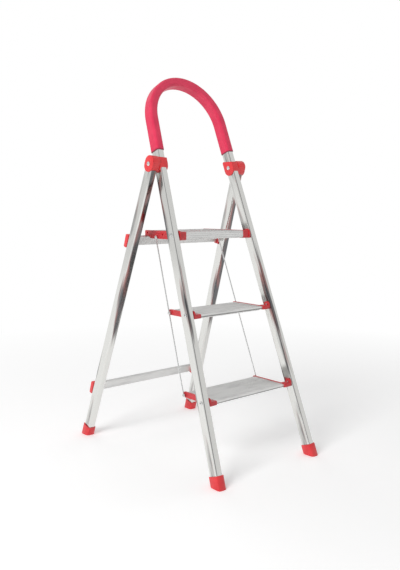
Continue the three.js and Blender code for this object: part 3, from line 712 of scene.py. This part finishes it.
rib_tree, given, result = node_tree("ribs along a tread", {
    "Length": "NodeSocketFloat", "Width": "NodeSocketFloat", "Height": "NodeSocketFloat",
    "Finish": "NodeSocketMaterial"})
line = rib_tree.nodes.new("GeometryNodeCurvePrimitiveLine")
ends = [rib_tree.nodes.new("ShaderNodeCombineXYZ") for _ in range(2)]
halves = [rib_tree.nodes.new("ShaderNodeMath") for _ in range(2)]
for share, half in zip((-0.5, 0.5), halves):
    half.operation = "MULTIPLY"
    half.inputs[1].default_value = share
profile = rib_tree.nodes.new("GeometryNodeCurvePrimitiveCircle")
profile.inputs["Resolution"].default_value = 10
profile.inputs["Radius"].default_value = 1.0
flatten = rib_tree.nodes.new("GeometryNodeTransform")
flat_scale = rib_tree.nodes.new("ShaderNodeCombineXYZ")
flat_scale.inputs["Z"].default_value = 1.0
sweep = rib_tree.nodes.new("GeometryNodeCurveToMesh")
sweep.inputs["Fill Caps"].default_value = True
set_on = rib_tree.nodes.new("GeometryNodeInstanceOnPoints")
real = rib_tree.nodes.new("GeometryNodeRealizeInstances")
paint = rib_tree.nodes.new("GeometryNodeSetMaterial")
for half, end in zip(halves, ends):
    chain(rib_tree, (given.outputs["Length"], half.inputs[0]), (half.outputs[0], end.inputs["X"]))
chain(rib_tree,
      (ends[0].outputs[0], line.inputs["Start"]),
      (ends[1].outputs[0], line.inputs["End"]),
      (given.outputs["Height"], flat_scale.inputs["X"]),
      (given.outputs["Width"], flat_scale.inputs["Y"]),
      (profile.outputs["Curve"], flatten.inputs["Geometry"]),
      (flat_scale.outputs[0], flatten.inputs["Scale"]),
      (line.outputs["Curve"], sweep.inputs["Curve"]),
      (flatten.outputs["Geometry"], sweep.inputs["Profile Curve"]),
      (given.outputs["Geometry"], set_on.inputs["Points"]),
      (sweep.outputs["Mesh"], set_on.inputs["Instance"]),
      (set_on.outputs["Instances"], real.inputs["Geometry"]),
      (real.outputs["Geometry"], paint.inputs["Geometry"]),
      (given.outputs["Finish"], paint.inputs["Material"]),
      (paint.outputs["Geometry"], result.inputs["Geometry"]))


def ribs(tread, start, stop, finish):
    """Pairs of ribs on the bands between the grooves, from start to stop along Y."""
    low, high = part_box(f"{tread}_deck")
    count = math.floor((stop - start - groove_pitch) / groove_pitch)
    first = (start + stop - (count - 1) * groove_pitch) / 2
    places = []
    for i in range(count + 1):
        middle = first + (i - 0.5) * groove_pitch
        for shift in (-rib_spacing / 2, rib_spacing / 2):
            places.append((0, middle + shift, high.z))
    seed = bpy.data.meshes.new(f"{tread}_ribs")
    seed.from_pydata(places, [], [])
    piece = grown(f"{tread}_ribs", seed, rib_tree, {
        "Length": high.x - low.x - rib_end_gap, "Width": rib_width / 2, "Height": rib_height,
        "Finish": finish}, tread)


pocket_radius, pocket_length = 0.0030, 0.006
pocket_inset = 0.005                      # from the rod's pivot in to the pockets' middle
hook_pocket_ahead, hook_pocket_up = 0.012, 0.0005        # from the hook's back, and from the bolt
middle_pocket_back, middle_pocket_down = 0.095, 0.003    # both from the bolt


def pocket_cutter(middles):
    """A short cylinder along X at each middle, joined in one cutting shape."""
    shape = bmesh.new()
    for middle in middles:
        bmesh.ops.create_cone(shape, cap_ends=True, segments=28, radius1=pocket_radius,
                              radius2=pocket_radius, depth=pocket_length,
                              matrix=Matrix.Translation(middle) @ Matrix.Rotation(math.pi / 2, 4, "Y"))
    mesh = bpy.data.meshes.new("bracket_pockets")
    shape.to_mesh(mesh)
    shape.free()
    piece = bpy.data.objects.new("bracket_pockets", mesh)
    bpy.context.scene.collection.objects.link(piece)
    return piece


def bracket_pockets(side, bolt):
    """The two round pockets in the outer face of a platform bracket, one near its hook."""
    hook_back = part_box(f"platform_bracket_{side}")[1].y
    face = sides[side] * (abs(joint_at[f"tie_rod_{side}_pivot"].x) - pocket_inset)
    return pocket_cutter([
        Vector((face, hook_back - hook_pocket_ahead, bolt.z + hook_pocket_up)),
        Vector((face, bolt.y + middle_pocket_back, bolt.z - middle_pocket_down))])


tread_cap_edge = 0.0007
rod_pin_shank, rod_pin_head, rod_pin_hollow = 0.002, 0.0036, 0.0008
# painted shade: the tread caps are the same red nylon as the other mouldings, painted darker
shaded_cap_plastic = plastic_finish("red nylon tread cap, painted shade", deep=(0.480, 0.022, 0.029, 1),
                             pale=(0.560, 0.036, 0.043, 1), gloss=0.28)
for tread in tread_names:
    deck = frame["nodes"][f"{tread}_deck"]
    low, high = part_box(f"{tread}_deck")
    # The lower treads get a lighter copy of the platform's aluminium: painted light against the shade under the
    # platform. Their noses get a painted shadow below.
    if tread == "platform":
        end_piece, brightness, painted_shadow_limits, rib_start = "platform_bracket", 0.73, None, platform_rib_start
    else:
        end_piece, brightness, rib_start = f"{tread}_cap", 0.82, tread_rib_start
        painted_shadow_limits = (high.z - nose_lip, low.y + nose_reach)
    satin_tread = aluminium_finish(f"satin aluminium {tread}", 0.00005, brightness, painted_shadow_limits)
    deck.data.materials[0] = satin_tread
    ribs(tread, low.y + rib_start, high.y, satin_tread)
    for side in sides:
        cutters = bracket_pockets(side, joint_at[f"{tread}_lift"]) if tread == "platform" else None
        moulded(f"{end_piece}_{side}", f"{tread}_end_{side}", tread_cap_edge, shaded_cap_plastic, tread, cutters)
        if cutters:
            bpy.data.objects.remove(cutters)

    nodes = [f"{tread}_rod_pin_{side}" for side in sides]
    low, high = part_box(nodes[0])
    end = low.x - high.x
    shape = turned("rod_pin", [(0, end), (rod_pin_shank, end), (rod_pin_shank, -head_height),
                               (rod_pin_head, -head_height), *crown(rod_pin_head, rod_pin_hollow)], 24)
    fasteners(f"{tread}_pins", shape, [outward(node) for node in nodes], tread, nodes)


# ---------------------------------------------------------------------------------------------
# Tie rods. A bright steel wire on each side with an eye for every tread's pin: they keep the
# treads level with each other and lift all three together as the ladder is folded.

rod_radius, rod_sides = 0.002, 16
eye_ring, eye_wire, eye_half_width = 0.0037, 0.0015, 0.0021      # eye_ring is to the middle of the wire
eye_steps, eye_sides = 28, 12
eye_gap = 0.0003                          # between an eye and the head of its pin


def wire_points(start, direction, radius, reach):
    """A round section of the wire, square to its direction, at some reach from its start."""
    turn = direction.to_track_quat("Z", "Y").to_matrix()
    return [start + turn @ Vector((radius * math.cos(2 * math.pi * i / rod_sides),
                                   radius * math.sin(2 * math.pi * i / rod_sides), reach))
            for i in range(rod_sides)]


def rod(side, sign):
    """The wire from the top eye to the bottom one, with a ring eye about each pin."""
    holes = []
    for tread in tread_names:
        low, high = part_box(f"{tread}_rod_pin_{side}")
        middle = (low + high) / 2
        head = high.x if sign > 0 else low.x
        holes.append(Vector((head - sign * (head_height + eye_gap + eye_half_width), middle.y, middle.z)))
    direction = (holes[2] - holes[0]).normalized()
    shape = bmesh.new()
    levels = [(0.0, 0.6), (0.0006, 0.9), (0.0014, 1.0)]      # reach and share of the radius: round ends
    span = (holes[2] - holes[0]).length
    levels += [(span - reach, share) for reach, share in reversed(levels)]
    loops = [[shape.verts.new(p) for p in wire_points(holes[0], direction, rod_radius * share, at)]
             for at, share in levels]
    for a, b in zip(loops, loops[1:]):
        for i in range(rod_sides):
            j = (i + 1) % rod_sides
            shape.faces.new((a[i], a[j], b[j], b[i]))
    shape.faces.new(loops[0][::-1])
    shape.faces.new(loops[-1])
    for hole in holes:
        rings = []
        for i in range(eye_steps):
            angle = 2 * math.pi * i / eye_steps
            out = Vector((0, math.cos(angle), math.sin(angle)))
            rings.append([shape.verts.new(hole + out * (eye_ring + eye_wire * math.cos(turn))
                                          + OUT * (eye_half_width * math.sin(turn)))
                          for turn in (2 * math.pi * k / eye_sides for k in range(eye_sides))])
        for a, b in zip(rings, rings[1:] + rings[:1]):
            for k in range(eye_sides):
                m = (k + 1) % eye_sides
                shape.faces.new((a[k], b[k], b[m], a[m]))
    bmesh.ops.recalc_face_normals(shape, faces=shape.faces)
    mesh = bpy.data.meshes.new(f"rod_{side}")
    shape.to_mesh(mesh)
    shape.free()
    mesh.shade_smooth()
    mesh.set_sharp_from_angle(angle=turned_edge)
    mesh.materials.append(bright_zinc)
    piece = bpy.data.objects.new(f"rod_{side}", mesh)
    bpy.context.scene.collection.objects.link(piece)
    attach(piece, f"tie_rod_{side}")
    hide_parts(f"tie_rod_{side}")


for side, sign in sides.items():
    rod(side, sign)


# ---------------------------------------------------------------------------------------------
# The studio: a plain pale floor that fades to white, a pale room for the metal to mirror with one
# grey panel in it, three soft lamps that the metal doesn't mirror, and the camera.

floor_mesh = bpy.data.meshes.new("floor")
reach = 14.0
fade_start, fade_end = 0.7, 2.2           # from the middle of the ladder
floor_mesh.from_pydata([(-reach, -reach, 0), (reach, -reach, 0), (reach, reach, 0), (-reach, reach, 0)],
                       [], [(0, 1, 2, 3)])
floor = bpy.data.objects.new("floor", floor_mesh)
bpy.context.scene.collection.objects.link(floor)
pale = Finish("pale floor")
away = pale.node("ShaderNodeVectorMath", {"operation": "LENGTH"},
                 {"Vector": pale.coordinates(OBJECT)}, output=1)
near_shade = pale.node("ShaderNodeBsdfPrincipled", {}, {
    "Base Color": (0.95, 0.95, 0.95, 1), "Roughness": 0.9,
    "Emission Color": (1, 1, 1, 1), "Emission Strength": 0.16})
far_shade = pale.node("ShaderNodeEmission", {}, {"Color": (1, 1, 1, 1), "Strength": 1.0})
fade = pale.node("ShaderNodeMapRange", {}, {"Value": away, "From Min": fade_start, "From Max": fade_end})
seamless = pale.node("ShaderNodeMixShader", {}, {0: fade, 1: near_shade, 2: far_shade})
pale.node("ShaderNodeOutputMaterial", {}, {"Surface": seamless})
floor_mesh.materials.append(pale.material)

panel_direction = Vector((-0.62, -0.75, 0.25)).normalized()
room_grey, panel_grey = (0.82, 0.82, 0.82, 1), (0.32, 0.32, 0.33, 1)
panel_edge, panel_full = 0.80, 0.93       # cosine of the angle from the panel's middle
room_strength, scattered_strength = 0.95, 0.42

world = bpy.data.worlds.new("studio")
bpy.context.scene.world = world
world.use_nodes = True
sky = world.node_tree
sky.nodes.clear()
direction = sky.nodes.new("ShaderNodeTexCoord")
panel = sky.nodes.new("ShaderNodeVectorMath")
panel.operation = "DOT_PRODUCT"
panel.inputs[1].default_value = panel_direction
shades = sky.nodes.new("ShaderNodeValToRGB")
for element, position, grey in zip(shades.color_ramp.elements, (panel_edge, panel_full),
                                   (room_grey, panel_grey)):
    element.position, element.color = position, grey


def backdrop(strength):
    """White light of one strength from all round."""
    node = sky.nodes.new("ShaderNodeBackground")
    node.inputs["Color"].default_value = (1, 1, 1, 1)
    node.inputs["Strength"].default_value = strength
    return node


lit, seen, dim = backdrop(room_strength), backdrop(1.0), backdrop(scattered_strength)
path = sky.nodes.new("ShaderNodeLightPath")
mirrored = sky.nodes.new("ShaderNodeMixShader")
choose = sky.nodes.new("ShaderNodeMixShader")
out = sky.nodes.new("ShaderNodeOutputWorld")
chain(sky,
      (direction.outputs["Generated"], panel.inputs[0]),
      (panel.outputs["Value"], shades.inputs["Fac"]),
      (shades.outputs["Color"], lit.inputs["Color"]),
      (path.outputs["Is Camera Ray"], choose.inputs["Fac"]),
      (path.outputs["Is Glossy Ray"], mirrored.inputs["Fac"]),
      (dim.outputs[0], mirrored.inputs[1]),
      (lit.outputs[0], mirrored.inputs[2]),
      (mirrored.outputs[0], choose.inputs[1]),
      (seen.outputs[0], choose.inputs[2]),
      (choose.outputs[0], out.inputs["Surface"]))

lamp_aim = Vector((0, 0, 0.5))
for name, place, size, power in (
        ("key", (-3.5, -0.9, 2.6), 2.0, 112),
        ("fill", (2.2, 0.6, 3.4), 2.4, 14),
        ("rim", (0.6, 3.2, 2.6), 2.0, 18)):
    lamp = bpy.data.lights.new(name, "AREA")
    lamp.energy, lamp.size = power, size
    light = bpy.data.objects.new(name, lamp)
    light.location = place
    light.visible_glossy = False
    light.rotation_euler = (lamp_aim - light.location).to_track_quat("-Z", "Y").to_euler()
    bpy.context.scene.collection.objects.link(light)

camera = bpy.data.objects.new("camera", bpy.data.cameras.new("camera"))
bpy.context.scene.collection.objects.link(camera)
camera_from_hinge = Vector((-1.338, -1.5552, -0.124))
camera.location = hinge + camera_from_hinge
yaw, pitch, roll = math.radians(-40.94), math.radians(90 - 6.58), math.radians(0.07)
camera.rotation_euler = (Matrix.Rotation(yaw, 3, "Z") @ Matrix.Rotation(pitch, 3, "X")
                         @ Matrix.Rotation(roll, 3, "Z")).to_euler()
camera.data.sensor_width, camera.data.lens = 36.0, 42.3158
bpy.context.scene.camera = camera
bpy.context.scene.view_settings.view_transform = "Standard"
